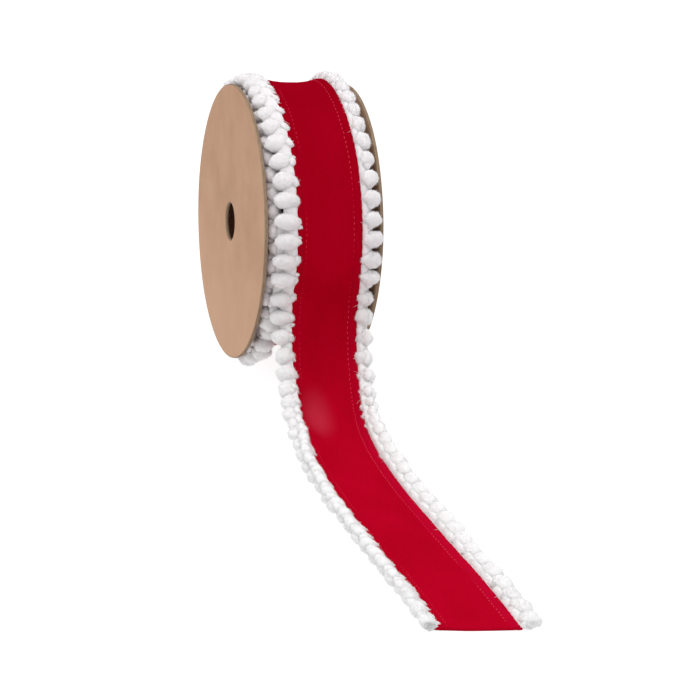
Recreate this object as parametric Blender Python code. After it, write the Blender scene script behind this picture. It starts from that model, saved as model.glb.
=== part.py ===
"""A card spool of velvet ribbon edged with pompoms, its loose end run out along the table.

The spool stands on its two flanges, its axle line along X. The ribbon leaves the front of the
roll, drops in one arc to the table and runs forward along -Y. Metres, +Z up, and the origin is
on the table in the middle of the object's footprint.
"""

from math import cos, pi, radians, sin, tau

import bmesh
import bpy
from mathutils import Vector

MM = 0.001

# Spool
FLANGE_RADIUS = 79.0 * MM
FLANGE_STEPS = 80
CARD = 2.4 * MM                     # thickness of the flanges and of the core's wall
FLANGE_GAP = 64.0 * MM              # between the flanges' inner faces
SPINDLE_RADIUS = 10.8 * MM
CORE_RADIUS = 38.0 * MM
CORE_STEPS = 48
CLEARANCE = 0.3 * MM                # between pieces that touch

# Ribbon
VELVET_WIDTH = 37.0 * MM
VELVET_THICK = 1.2 * MM
VELVET_SHIFT = 3.6 * MM             # the outer turn lies off the middle, towards +X
TURN_RADIUS = 76.4 * MM             # velvet face of the outer turn where it leaves the roll
TURN_PITCH = 2.6 * MM               # how far each turn lies inside the next
ROLL_LIFT = 3.8 * MM                # the loose turns ride up: fuller over the top than below
ROLL_CURL = 0.26                    # half the angle, in radians, that the width curls through
ACROSS = (-1.0, -0.65, -0.25, 0.25, 0.65, 1.0)      # stations across the width, edge to edge

# Pompoms and the tape that carries them
POMPOMS_PER_TURN = 45
ROWS_START_AFTER = 2                # outer pompoms left off under the loose end
TAPE_WIDTH = 2.3 * MM
TAPE_THICK = 1.5 * MM
TAPE_STAND = 0.4 * MM               # the wound tape stands above the velvet's edge
TAPE_BAND = 5.0 * MM                # height of the wound tape for each row of pompoms
POMPOM_HALF = 4.2 * MM              # half the width of a pompom's belly
POMPOM_RISE = 3.3 * MM              # centre of a wound pompom above the velvet face
ROW_DROP = 9.0 * MM                 # second row of pompoms below the first
TAIL_REACH = 6.6 * MM               # centre of a loose pompom beyond the velvet's edge
LEFT_REACH = (10.2 * MM, 12.2 * MM)         # the same for the outer and inner wound rows
RIGHT_REACH = (5.4 * MM, 5.4 * MM)
SETTLE = 50.0 * MM                  # length over which the wound reach gives way to the loose one
# Rings of a pompom, from its root to its tip: place and size as shares of POMPOM_HALF
POMPOM_RINGS = (
    # place, size
    (-0.45, 1.00),
    (0.45, 1.00),
    (0.98, 0.52),
)

# Loose end
LEAVE_ANGLE = radians(10.6)         # below the front of the roll, where the ribbon leaves it
LEAVE_GAP = 0.6 * MM                # from the end of the wound solid to the loose sheet
STEP_ANGLE = radians(0.25)          # width of the step where the outer turn ends
TAIL_LENGTH = 342.5 * MM
TAIL_SLANT = 2.8 * MM               # how far the cut end leans, from its middle to an edge
TAIL_POMPOMS = 28
FIRST_POMPOM = 4.5 * MM
LAST_POMPOM = 337.5 * MM
ROOT_HALF = 2.6 * MM                # half the length of tape that one pompom grows from
# How the loose end lies, by distance from the roll
TAIL_LIE = (
    # distance, lean in degrees towards +X, curl of the width, tilt of the pompoms
    (0.0 * MM, 0.0, 0.26, 0.30),
    (40.0 * MM, -1.7, 0.38, 0.30),
    (75.0 * MM, -6.5, 0.62, 0.30),
    (110.0 * MM, -6.4, 0.56, 0.26),
    (150.0 * MM, 0.0, 0.34, 0.22),
    (200.0 * MM, 3.5, 0.20, 0.19),
    (270.0 * MM, 4.7, 0.16, 0.19),
    (350.0 * MM, 1.7, 0.05, 0.19),
)
PATH_STEP = 1.0 * MM

# Place of the roll's axle line
FLAT_SPOT_STEPS = 1                 # facets each side of the lowest point that are pressed flat
AXLE_HEIGHT = FLANGE_RADIUS * cos(FLAT_SPOT_STEPS * tau / FLANGE_STEPS)
AXLE_Y = 146.2 * MM
AXLE = Vector((0.0, AXLE_Y, AXLE_HEIGHT))

HALF_VELVET = VELVET_WIDTH / 2
HALF_GAP = FLANGE_GAP / 2


# ---------------------------------------------------------------- helpers

def clear_scene():
    for old in list(bpy.data.objects):
        bpy.data.objects.remove(old, do_unlink=True)


def make_collection(name):
    collection = bpy.data.collections.new(name)
    bpy.context.scene.collection.children.link(collection)
    return collection


def make_material(name, colour, roughness):
    material = bpy.data.materials.new(name)
    material.use_nodes = True
    shader = material.node_tree.nodes["Principled BSDF"]
    shader.inputs["Base Color"].default_value = (*colour, 1.0)
    shader.inputs["Roughness"].default_value = roughness
    shader.inputs["Metallic"].default_value = 0.0
    return material


def add_piece(name, bm, material, collection, smooth_angle=None):
    """Turn a bmesh into a named object with its faces pointing outwards."""
    bmesh.ops.recalc_face_normals(bm, faces=bm.faces)
    mesh = bpy.data.meshes.new(name)
    bm.to_mesh(mesh)
    bm.free()
    mesh.materials.append(material)
    if smooth_angle is not None:
        mesh.shade_smooth()
        mesh.set_sharp_from_angle(angle=smooth_angle)
    piece = bpy.data.objects.new(name, mesh)
    collection.objects.link(piece)
    return piece


def table_at(table, distance):
    """Read a table of (distance, value, ...) rows smoothly at one distance."""
    for row, following in zip(table, table[1:]):
        if distance <= following[0]:
            break
    share = min(max((distance - row[0]) / (following[0] - row[0]), 0.0), 1.0)
    share = share * share * (3.0 - 2.0 * share)
    return [a + (b - a) * share for a, b in zip(row[1:], following[1:])]


def loft(bm, rings, closed):
    """Join rings of points in order. Returns the side faces, by ring and then by side."""
    rows = [[bm.verts.new(point) for point in ring] for ring in rings]
    pairs = list(zip(rows, rows[1:]))
    if closed:
        pairs.append((rows[-1], rows[0]))
    faces = []
    for near, far in pairs:
        count = len(near)
        faces.append([
            bm.faces.new((near[k], near[(k + 1) % count], far[(k + 1) % count], far[k]))
            for k in range(count)
        ])
    if not closed:
        bm.faces.new(rows[0])
        bm.faces.new(rows[-1])
    return faces


def grow_pompom(bm, root, centre, out, along, up):
    """Draw a pompom out of one face of the tape, as three ever further rings of four points."""
    middle = root.calc_center_median()
    for place, size in POMPOM_RINGS:
        grown = bmesh.ops.extrude_discrete_faces(bm, faces=[root])["faces"][0]
        for vert in grown.verts:
            offset = vert.co - middle
            side = 1.0 if offset.dot(along) > 0.0 else -1.0
            rise = 1.0 if offset.dot(up) > 0.0 else -1.0
            vert.co = centre + (out * place + (along * side + up * rise) * size) * POMPOM_HALF
        middle = grown.calc_center_median()
        root = grown


def curl_point(share, curl):
    """Place of a point across the curled width: sideways, and up from the flat middle."""
    radius = HALF_VELVET / curl
    level = radius * (1.0 - cos(curl * ACROSS[3]))
    return radius * sin(curl * share), max(radius * (1.0 - cos(curl * share)) - level, 0.0)


# ---------------------------------------------------------------- spool

def turned_ring(inner, outer, low_x, high_x, steps):
    """A flat-sided ring about the axle line, as a rectangle spun once round."""
    bm = bmesh.new()
    corners = ((low_x, inner), (low_x, outer), (high_x, outer), (high_x, inner))
    verts = [bm.verts.new(AXLE + Vector((x, 0.0, -radius))) for x, radius in corners]
    edges = [bm.edges.new((verts[k - 1], verts[k])) for k in range(4)]
    bmesh.ops.spin(bm, geom=verts + edges, cent=AXLE, axis=(1.0, 0.0, 0.0),
                   angle=tau, steps=steps, use_merge=True)
    return bm


def build_flange(name, low_x, material, collection):
    bm = turned_ring(SPINDLE_RADIUS, FLANGE_RADIUS, low_x, low_x + CARD, FLANGE_STEPS)
    for vert in bm.verts:
        vert.co.z = max(vert.co.z, 0.0)         # the small flat spot that it stands on
    return add_piece(name, bm, material, collection, radians(30))


def build_core(material, collection):
    reach = HALF_GAP - CLEARANCE
    bm = turned_ring(CORE_RADIUS - CARD, CORE_RADIUS, -reach, reach, CORE_STEPS)
    return add_piece("core_tube", bm, material, collection, radians(30))


# ---------------------------------------------------------------- wound ribbon

def turn_angles():
    """Stations round the roll: from just under the loose end, under, up the back and over."""
    count = 2 * POMPOMS_PER_TURN
    return [k * tau / count for k in range(count)] + [tau - STEP_ANGLE]


def turn_radius(angle):
    """Velvet face of the turn that shows: it rises by one pitch in a full turn, and rides up."""
    lift = ROLL_LIFT * (sin(LEAVE_ANGLE) - sin(LEAVE_ANGLE + angle))
    return TURN_RADIUS - TURN_PITCH * (1.0 - angle / tau) + lift


def round_axle(angle, radius, x):
    """A point at an angle past the place where the ribbon leaves, going down the front."""
    turn = LEAVE_ANGLE + angle
    return AXLE + Vector((x, -radius * cos(turn), -radius * sin(turn)))


def build_roll(material, collection):
    inner = CORE_RADIUS + 2 * CLEARANCE
    rings = []
    for angle in turn_angles():
        face = turn_radius(angle)
        ring = []
        for share in ACROSS:
            sideways, rise = curl_point(share, ROLL_CURL)
            ring.append(round_axle(angle, face + rise, VELVET_SHIFT + sideways))
        for end in (ring[-1], ring[0]):
            ring.append(round_axle(angle, inner, end.x))
        rings.append(ring)
    bm = bmesh.new()
    loft(bm, rings, closed=True)
    return add_piece("ribbon_roll", bm, material, collection, radians(30))


def outer_row_radius(angle):
    """Centre of an outer pompom. Near the table it is pushed in until it rests there."""
    free = turn_radius(angle) + POMPOM_RISE
    down = cos(LEAVE_ANGLE + angle - pi / 2)
    if down <= 0.5:
        return free
    lean = abs(sin(LEAVE_ANGLE + angle - pi / 2))
    return min(free, (AXLE_HEIGHT - POMPOM_HALF * lean) / down - POMPOM_HALF)


def build_wound_pompoms(name, side, reaches, material, collection):
    """Tape and two staggered rows of pompoms on one side of the roll."""
    edge, lift = curl_point(1.0, ROLL_CURL)
    near = side * (edge + CLEARANCE) + VELVET_SHIFT
    far = near + side * TAPE_WIDTH
    angles = turn_angles()
    rings = []
    for angle in angles:
        top = turn_radius(angle) + lift + TAPE_STAND
        rings.append([
            round_axle(angle, top - 2 * TAPE_BAND, near),
            round_axle(angle, top, near),
            round_axle(angle, top, far),
            round_axle(angle, top - TAPE_BAND, far),
            round_axle(angle, top - 2 * TAPE_BAND, far),
        ])
    bm = bmesh.new()
    faces = loft(bm, rings, closed=True)
    out = Vector((side, 0.0, 0.0))
    velvet_edge = side * HALF_VELVET + VELVET_SHIFT
    for k in range(2 * POMPOMS_PER_TURN):
        row = k % 2                             # even stations carry the outer row
        if row == 0 and k < 2 * ROWS_START_AFTER:
            continue
        angle = (angles[k] + angles[k + 1]) / 2
        up = (round_axle(angle, 1.0, 0.0) - AXLE).normalized()
        centre = round_axle(angle, outer_row_radius(angle) - row * ROW_DROP,
                            velvet_edge + side * reaches[row])
        grow_pompom(bm, faces[k][2 + row], centre, out, up.cross(out), up)
    return add_piece(name, bm, material, collection)


# ---------------------------------------------------------------- loose end

def tail_path():
    """Centre line of the loose end: one arc from the roll to the table, then along it.

    Each row holds the place and the directions along, across and up from the velvet face.
    """
    radius = TURN_RADIUS - VELVET_THICK / 2
    place = round_axle(0.0, radius, VELVET_SHIFT)
    drop = place.z - VELVET_THICK / 2
    bend = drop / (1.0 + sin(LEAVE_ANGLE))
    rows = []
    for step in range(int(TAIL_LENGTH / PATH_STEP) + 12):
        distance = step * PATH_STEP
        lean = radians(table_at(TAIL_LIE, distance)[0])
        slope = min(distance / bend - LEAVE_ANGLE, pi / 2)
        fall = Vector((0.0, -sin(slope), -cos(slope)))
        sideways = Vector((1.0, 0.0, 0.0))
        along = fall * cos(lean) + sideways * sin(lean)
        across = sideways * cos(lean) - fall * sin(lean)
        rows.append((place.copy(), along, across, along.cross(across)))
        place += along * PATH_STEP
        place.z = max(place.z, VELVET_THICK / 2)
    return rows


def path_at(path, distance):
    """Place and directions at any distance along the path."""
    step = min(int(distance / PATH_STEP), len(path) - 2)
    share = distance / PATH_STEP - step
    place = path[step][0].lerp(path[step + 1][0], share)
    along, across, up = [path[step][k].lerp(path[step + 1][k], share).normalized() for k in (1, 2, 3)]
    return place, along, across, up


def pompom_stops(side=0.0):
    """Distances of the pompoms of one side, the last as far along as the slanted end allows."""
    gap = (LAST_POMPOM + side * TAIL_SLANT - FIRST_POMPOM) / (TAIL_POMPOMS - 1)
    return [FIRST_POMPOM + k * gap for k in range(TAIL_POMPOMS)]


def tail_stations(side=0.0):
    """The start, both sides of each pompom's root, and the cut end."""
    stations = [LEAVE_GAP]
    for stop in pompom_stops(side):
        stations += [stop - ROOT_HALF, stop + ROOT_HALF]
    return stations + [TAIL_LENGTH + side * TAIL_SLANT]


def build_tail(path, material, collection):
    rings = []
    stations = tail_stations()
    for distance in stations:
        place, along, across, up = path_at(path, distance)
        curl = table_at(TAIL_LIE, distance)[1]
        faces = []
        for side in (1.0, -1.0):                # velvet face, then the back
            shares = ACROSS if side > 0 else reversed(ACROSS)
            for share in shares:
                sideways, rise = curl_point(share, curl)
                facing = up * cos(curl * share) - across * sin(curl * share)
                point = place + across * sideways + up * rise + facing * side * VELVET_THICK / 2
                if distance == stations[-1]:
                    point += along * TAIL_SLANT * share
                faces.append(point)
        rings.append(faces)
    bm = bmesh.new()
    loft(bm, rings, closed=False)
    return add_piece("ribbon_tail", bm, material, collection, radians(30))


def build_tail_pompoms(name, side, wound_reach, path, material, collection):
    """Tape and pompoms along one edge of the loose end."""
    rings = []
    for distance in tail_stations(side):
        place, along, across, up = path_at(path, distance)
        curl = table_at(TAIL_LIE, distance)[1]
        edge, rise = curl_point(1.0, curl)
        out = across * side * cos(curl) + up * sin(curl)
        top = up * cos(curl) - across * side * sin(curl)
        corner = place + across * side * edge + up * rise
        reach = (CLEARANCE, CLEARANCE + TAPE_WIDTH)
        rings.append([
            corner + out * reach[0] - top * TAPE_THICK / 2,
            corner + out * reach[0] + top * TAPE_THICK / 2,
            corner + out * reach[1] + top * TAPE_THICK / 2,
            corner + out * reach[1] - top * TAPE_THICK / 2,
        ])
    bm = bmesh.new()
    faces = loft(bm, rings, closed=False)
    for k, stop in enumerate(pompom_stops(side)):
        place, along, across, up = path_at(path, stop)
        curl, tilt = table_at(TAIL_LIE, stop)[1:]
        edge, rise = curl_point(1.0, curl)
        reach, stand = table_at((
            (0.0, wound_reach, POMPOM_RISE + VELVET_THICK / 2),
            (SETTLE, TAIL_REACH * cos(tilt), rise + TAIL_REACH * sin(tilt)),
        ), stop)
        centre = place + across * side * (edge + reach) + up * stand
        centre.z = max(centre.z, POMPOM_HALF * (abs(up.z) + abs(along.z)))
        grow_pompom(bm, faces[2 * k + 1][2], centre, across * side, along, up)
    return add_piece(name, bm, material, collection)


# ---------------------------------------------------------------- assembly

def main():
    clear_scene()
    parts = make_collection("pompom_ribbon_spool")
    card = make_material("kraft_card", (0.52, 0.34, 0.21), 0.85)
    velvet = make_material("red_velvet", (0.36, 0.0, 0.012), 0.8)
    yarn = make_material("white_yarn", (0.82, 0.82, 0.81), 0.95)

    build_flange("flange_left", -HALF_GAP - CARD, card, parts)
    build_flange("flange_right", HALF_GAP, card, parts)
    build_core(card, parts)
    build_roll(velvet, parts)
    build_wound_pompoms("pompoms_wound_left", -1.0, LEFT_REACH, yarn, parts)
    build_wound_pompoms("pompoms_wound_right", 1.0, RIGHT_REACH, yarn, parts)

    path = tail_path()
    build_tail(path, velvet, parts)
    build_tail_pompoms("pompoms_tail_left", -1.0, LEFT_REACH[0], path, yarn, parts)
    build_tail_pompoms("pompoms_tail_right", 1.0, RIGHT_REACH[0], path, yarn, parts)


main()
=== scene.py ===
# A card spool of red velvet ribbon with white pompom trim along both edges,
# its loose end run out along the table.
import random
from math import cos, pi, radians, sin, tau

import bmesh
import bpy
from mathutils import Matrix, Vector, noise


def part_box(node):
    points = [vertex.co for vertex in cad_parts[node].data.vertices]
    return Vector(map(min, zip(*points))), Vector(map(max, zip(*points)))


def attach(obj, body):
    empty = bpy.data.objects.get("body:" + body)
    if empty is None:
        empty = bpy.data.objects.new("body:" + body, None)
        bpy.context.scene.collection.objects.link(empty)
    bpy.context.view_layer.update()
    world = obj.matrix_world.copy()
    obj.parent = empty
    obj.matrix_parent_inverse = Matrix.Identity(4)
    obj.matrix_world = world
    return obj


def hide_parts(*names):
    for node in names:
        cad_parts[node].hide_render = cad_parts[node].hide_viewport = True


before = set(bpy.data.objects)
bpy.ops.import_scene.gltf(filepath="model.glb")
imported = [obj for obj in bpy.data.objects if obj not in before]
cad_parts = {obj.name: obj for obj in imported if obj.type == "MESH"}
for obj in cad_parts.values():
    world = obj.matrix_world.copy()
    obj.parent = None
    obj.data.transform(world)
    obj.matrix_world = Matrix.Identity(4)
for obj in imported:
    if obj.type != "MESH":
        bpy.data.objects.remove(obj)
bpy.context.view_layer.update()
mm = 0.001


def inMm(*values):
    # lengths given in millimetres, alone or in rows
    return tuple(inMm(*value) if isinstance(value, tuple) else value * mm for value in values)


# the spool's axle, read from the left flange
leftLow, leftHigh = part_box("flange_left")
rightLow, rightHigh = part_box("flange_right")
coreLow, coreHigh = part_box("core_tube")
flangeRadius = (leftHigh.y - leftLow.y) / 2
axle = Vector((0.0, (leftLow.y + leftHigh.y) / 2, leftHigh.z - flangeRadius))
print("frame loaded, axle at", tuple(round(c, 4) for c in axle))


# small helpers

def finishPiece(name, bm, material):
    mesh = bpy.data.meshes.new(name)
    bm.to_mesh(mesh)
    bm.free()
    mesh.materials.append(material)
    mesh.shade_smooth()
    piece = bpy.data.objects.new(name, mesh)
    bpy.context.scene.collection.objects.link(piece)
    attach(piece, "root")
    return piece


def readTable(table, distance):
    # rows of (distance, value, ...), read smoothly between the rows
    for row, following in zip(table, table[1:]):
        if distance <= following[0]:
            break
    share = min(max((distance - row[0]) / (following[0] - row[0]), 0.0), 1.0)
    share = share * share * (3 - 2 * share)
    return [a + (b - a) * share for a, b in zip(row[1:], following[1:])]


class Nodes:
    # short way to add and link shader nodes
    def __init__(self, name):
        self.material = bpy.data.materials.new(name)
        self.material.use_nodes = True
        self.tree = self.material.node_tree
        self.shader = self.tree.nodes["Principled BSDF"]

    def add(self, kind, **values):
        made = self.tree.nodes.new(kind)
        for key, value in values.items():
            setattr(made, key, value)
        return made

    def join(self, source, target):
        self.tree.links.new(source, target)

    def noise(self, vector, scale, detail=3.0, roughness=0.5):
        made = self.add("ShaderNodeTexNoise")
        made.inputs["Scale"].default_value = scale
        made.inputs["Detail"].default_value = detail
        made.inputs["Roughness"].default_value = roughness
        self.join(vector, made.inputs["Vector"])
        return made.outputs["Fac"]

    def stretch(self, vector, scale):
        made = self.add("ShaderNodeMapping")
        made.inputs["Scale"].default_value = scale
        self.join(vector, made.inputs["Vector"])
        return made.outputs["Vector"]

    def ramp(self, value, stops):
        made = self.add("ShaderNodeValToRGB")
        band = made.color_ramp
        while len(band.elements) < len(stops):
            band.elements.new(0.5)
        for element, (place, colour) in zip(band.elements, stops):
            element.position = place
            element.color = (*colour, 1.0)
        self.join(value, made.inputs["Fac"])
        return made.outputs["Color"]

    def math(self, operation, first, second=None, clamp=False):
        made = self.add("ShaderNodeMath", operation=operation, use_clamp=clamp)
        for socket, value in zip(made.inputs, (first, second)):
            if value is None:
                continue
            if isinstance(value, (int, float)):
                socket.default_value = value
            else:
                self.join(value, socket)
        return made.outputs["Value"]

    def height(self, place):
        split = self.add("ShaderNodeSeparateXYZ")
        self.join(place, split.inputs["Vector"])
        return split.outputs["Z"]

    def mix(self, share, first, second, blend="MIX"):
        made = self.add("ShaderNodeMix", data_type="RGBA", blend_type=blend)
        for socket, value in ((made.inputs[0], share), (made.inputs[6], first), (made.inputs[7], second)):
            if isinstance(value, tuple):
                socket.default_value = (*value, 1.0)
            elif isinstance(value, (int, float)):
                socket.default_value = value
            else:
                self.join(value, socket)
        return made.outputs[2]

    def bump(self, height, distance, strength=1.0, under=None):
        made = self.add("ShaderNodeBump")
        made.inputs["Distance"].default_value = distance
        made.inputs["Strength"].default_value = strength
        self.join(height, made.inputs["Height"])
        if under is not None:
            self.join(under, made.inputs["Normal"])
        return made.outputs["Normal"]

    def finish(self, colour=None, normal=None, **values):
        for key, value in values.items():
            self.shader.inputs[key.replace("_", " ")].default_value = value
        if colour is not None:
            self.join(colour, self.shader.inputs["Base Color"])
        if normal is not None:
            self.join(normal, self.shader.inputs["Normal"])
        return self.material


# kraft card of the flanges and the core

kraft = {
    "base": (0.458, 0.274, 0.174),
    "pale": (0.496, 0.304, 0.198),
    "dark": (0.412, 0.240, 0.147),
    "speck": (0.290, 0.165, 0.096),
    # the next colour is painted light, for the lower card lit from below
    "paintedBouncePale": (0.590, 0.366, 0.242),
    "edge": (0.330, 0.235, 0.160),
    "edgeDark": (0.200, 0.140, 0.095),
}


def kraftMaterial():
    n = Nodes("kraftCard")
    place = n.add("ShaderNodeTexCoord").outputs["Object"]
    blotch = n.noise(place, 38.0, 4.0, 0.6)
    cloud = n.ramp(blotch, [(0.3, kraft["dark"]), (0.5, kraft["base"]), (0.72, kraft["pale"])])
    fibres = n.noise(n.stretch(place, (1.0, 1.0, 0.22)), 1500.0, 3.0, 0.65)
    laid = n.mix(0.22, cloud, n.ramp(fibres, [(0.32, kraft["dark"]), (0.7, kraft["pale"])]))
    grain = n.noise(place, 620.0, 2.0, 0.5)
    specks = n.math("MULTIPLY", n.math("SUBTRACT", grain, 0.66), 6.0, clamp=True)
    colour = n.mix(n.math("MULTIPLY", specks, 0.35), laid, kraft["speck"])
    # painted light: the lower card is painted paler, as if lit by light bounced up from the floor
    low = n.math("MULTIPLY", n.math("SUBTRACT", 0.085, n.height(place)), 14.0, clamp=True)
    colour = n.mix(n.math("MULTIPLY", low, 0.5), colour, kraft["paintedBouncePale"])
    dents = n.bump(n.noise(place, 55.0, 2.0, 0.5), 0.0006, 0.35)
    normal = n.bump(fibres, 0.00012, 0.5, dents)
    return n.finish(colour, normal, Roughness=0.88, Specular_IOR_Level=0.15)


def cardEdgeMaterial():
    n = Nodes("cardEdge")
    place = n.add("ShaderNodeTexCoord").outputs["Object"]
    plies = n.noise(n.stretch(place, (1.0, 0.05, 0.05)), 2400.0, 2.0, 0.5)
    streaks = n.noise(place, 300.0, 3.0, 0.6)
    mixed = n.mix(0.4, n.ramp(plies, [(0.35, kraft["edgeDark"]), (0.65, kraft["edge"])]),
                  n.ramp(streaks, [(0.35, kraft["edgeDark"]), (0.7, kraft["edge"])]))
    normal = n.bump(plies, 0.0002, 0.6)
    return n.finish(mixed, normal, Roughness=0.95, Specular_IOR_Level=0.1)


kraftCard = kraftMaterial()
cardEdge = cardEdgeMaterial()

flange = {
    "steps": 160,
    "holeRadius": 10.8 * mm,        # of the spindle hole
    "edgeRound": 0.45 * mm,
    "shaved": 0.4 * mm,             # the pressed card is a little thinner than its nominal size
    "plyGroove": 0.16 * mm,
    "warp": 0.14 * mm,
    "rings": (0.16, 0.3, 0.5, 0.7, 0.86, 0.96),     # shares of the way out from the hole
}


def turnFlange(name, node, low, high, seed):
    holeRadius = flange["holeRadius"]
    corner = flange["edgeRound"]
    low, high = low.copy(), high.copy()
    if low.x < 0:
        high.x -= flange["shaved"]
    else:
        low.x += flange["shaved"]
    thick = high.x - low.x
    span = flangeRadius - holeRadius
    outline = [(low.x, holeRadius + corner)]
    outline += [(low.x, holeRadius + span * share) for share in flange["rings"]]
    outline += [(low.x, flangeRadius - corner), (low.x + corner * 0.3, flangeRadius - corner * 0.3)]
    for share in (0.3, 0.36, 0.42, 0.58, 0.64, 0.7):
        groove = flange["plyGroove"] if share in (0.36, 0.64) else 0.0
        outline.append((low.x + thick * share, flangeRadius - groove))
    outline += [(high.x - corner * 0.3, flangeRadius - corner * 0.3), (high.x, flangeRadius - corner)]
    outline += [(high.x, holeRadius + span * share) for share in reversed(flange["rings"])]
    outline += [(high.x, holeRadius + corner), (high.x - corner, holeRadius), (low.x + corner, holeRadius)]
    bm = bmesh.new()
    verts = [bm.verts.new((x, axle.y, axle.z - radius)) for x, radius in outline]
    edges = [bm.edges.new((verts[k - 1], verts[k])) for k in range(len(verts))]
    bmesh.ops.spin(bm, geom=verts + edges, cent=axle, axis=(1, 0, 0), angle=tau,
                   steps=flange["steps"], use_merge=True)
    bmesh.ops.recalc_face_normals(bm, faces=bm.faces)
    for vert in bm.verts:
        away = Vector((0, vert.co.y - axle.y, vert.co.z - axle.z))
        swell = noise.noise(Vector((seed, vert.co.y * 22, vert.co.z * 22)))
        vert.co.x += swell * flange["warp"] * min(1.0, away.length / flangeRadius)
        vert.co.z = max(vert.co.z, 0.0)
    piece = finishPiece(name, bm, kraftCard)
    piece.data.materials.append(cardEdge)
    for face in piece.data.polygons:
        away = Vector((0, face.center.y - axle.y, face.center.z - axle.z)).length
        if away > flangeRadius - corner or away < holeRadius + corner:
            face.material_index = 1
    piece.data.set_sharp_from_angle(angle=radians(50))
    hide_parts(node)


turnFlange("flangeLeft", "flange_left", leftLow, leftHigh, 3.1)
turnFlange("flangeRight", "flange_right", rightLow, rightHigh, 7.7)
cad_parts["core_tube"].data.materials.clear()
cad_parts["core_tube"].data.materials.append(kraftCard)
print("spool turned")


# the line that the ribbon follows, on the roll and off it

ribbon = {
    "width": 37.0 * mm,             # between the two trims
    "thick": 1.2 * mm,
    "shift": 3.6 * mm,              # the outer turn lies off the middle of the spool
    "drift": 1.9 * mm,              # and comes back towards it over the top
    "driftStart": 0.6,              # radians before the loose end, and the angle that it takes
    "driftSpan": 1.1,
    "turnRadius": 76.4 * mm,
    "turnPitch": 2.6 * mm,
    "rollLift": 3.8 * mm,           # the turns are fuller over the top than below
    "rollCurl": 0.26,               # half the angle, in radians, that the width curls through
    "flatMiddle": 0.25,             # share of the half width below which the curl adds no height
    "leaveAngle": radians(10.6),
    "looseLength": 342.5 * mm,
    "endSlant": 2.8 * mm,
    "hiddenTurn": 0.09,             # share of a turn that runs on under the outer one
    "step": 1.0 * mm,
    "pastCut": 14,                  # stations kept beyond the cut end
    "lie": (
        # distance from the roll, lean in degrees, curl of the width, tilt of the pompoms
        (0 * mm, 0.0, 0.26, 0.30),
        (40 * mm, -1.7, 0.38, 0.30),
        (75 * mm, -6.5, 0.62, 0.30),
        (110 * mm, -6.4, 0.56, 0.26),
        (150 * mm, 0.0, 0.34, 0.22),
        (200 * mm, 3.5, 0.20, 0.19),
        (270 * mm, 4.7, 0.16, 0.19),
        (350 * mm, 1.7, 0.05, 0.19),
    ),
    "spread": inMm(
        # along the ribbon, how much further out its left and right edges lie
        (-200, 2.0, -0.6), (-140, 1.6, -0.6), (-60, 1.0, -0.5), (-20, 0.4, 0.2), (20, 0.6, 1.2),
        (80, 0.6, 1.6), (110, 0.6, 0.4), (160, 2.1, 0.3), (260, 2.6, 1.0), (350, 2.2, 1.4),
    ),
}
halfVelvet = ribbon["width"] / 2


def faceRadius(angle):
    lift = ribbon["rollLift"] * (sin(ribbon["leaveAngle"]) - sin(ribbon["leaveAngle"] + angle))
    return ribbon["turnRadius"] - ribbon["turnPitch"] * (1 - angle / tau) + lift


def roundAxle(angle, radius, x):
    turn = ribbon["leaveAngle"] + angle
    return axle + Vector((x, -radius * cos(turn), -radius * sin(turn)))


def shiftAt(angle):
    share = min(max((tau - angle - ribbon["driftStart"]) / ribbon["driftSpan"], 0.0), 1.0)
    return ribbon["shift"] - ribbon["drift"] * share * share * (3 - 2 * share)


def woundLine():
    # stations back from the place where the ribbon leaves the roll, each with its own directions
    rows = []
    angle = tau
    while angle > -ribbon["hiddenTurn"] * tau:
        radius = faceRadius(angle) - ribbon["thick"] / 2
        turn = ribbon["leaveAngle"] + angle
        rows.append((roundAxle(angle, radius, shiftAt(angle)), Vector((0, sin(turn), -cos(turn))),
                     Vector((1, 0, 0)), Vector((0, -cos(turn), -sin(turn))), ribbon["rollCurl"], angle))
        angle -= ribbon["step"] / radius
    return rows[::-1]


def looseLine():
    radius = ribbon["turnRadius"] - ribbon["thick"] / 2
    place = roundAxle(0.0, radius, ribbon["shift"])
    bend = (place.z - ribbon["thick"] / 2) / (1 + sin(ribbon["leaveAngle"]))
    rows = []
    for k in range(int(ribbon["looseLength"] / ribbon["step"]) + ribbon["pastCut"]):
        distance = k * ribbon["step"]
        lean, curl = readTable(ribbon["lie"], distance)[:2]
        lean = radians(lean)
        slope = min(distance / bend - ribbon["leaveAngle"], pi / 2)
        fall = Vector((0, -sin(slope), -cos(slope)))
        sideways = Vector((1, 0, 0))
        along = fall * cos(lean) + sideways * sin(lean)
        across = sideways * cos(lean) - fall * sin(lean)
        rows.append((place.copy(), along, across, along.cross(across), curl, tau))
        place += along * ribbon["step"]
        place.z = max(place.z, ribbon["thick"] / 2)
    return rows


wound = woundLine()
line = wound[:-1] + looseLine()
lineStart = -(len(wound) - 1) * ribbon["step"]      # the loose end starts at 0


def lineAt(distance):
    steps = (distance - lineStart) / ribbon["step"]
    k = max(0, min(int(steps), len(line) - 2))
    share = min(max(steps - k, 0.0), 1.0)
    here, there = line[k], line[k + 1]
    place = here[0].lerp(there[0], share)
    along, across, up = [here[i].lerp(there[i], share).normalized() for i in (1, 2, 3)]
    return place, along, across, up, here[4] + (there[4] - here[4]) * share


def curlPoint(across, curl):
    radius = halfVelvet / curl
    bend = curl * across / halfVelvet
    level = radius * (1 - cos(curl * ribbon["flatMiddle"]))
    return radius * sin(bend), max(radius * (1 - cos(bend)) - level, 0.0), bend


def onRibbon(across, distance, lift):
    # from the flat ribbon to where it lies: across from its middle, along from the roll, up from the face
    place, _, acrossWay, up, curl = lineAt(distance)
    spread = readTable(ribbon["spread"], distance)[0 if across < 0 else 1]
    across += spread * max(-1.0, min(across / halfVelvet, 1.0))
    sideways, rise, bend = curlPoint(across, curl)
    facing = up * cos(bend) - acrossWay * sin(bend)
    return place + acrossWay * sideways + up * rise + facing * lift


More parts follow.
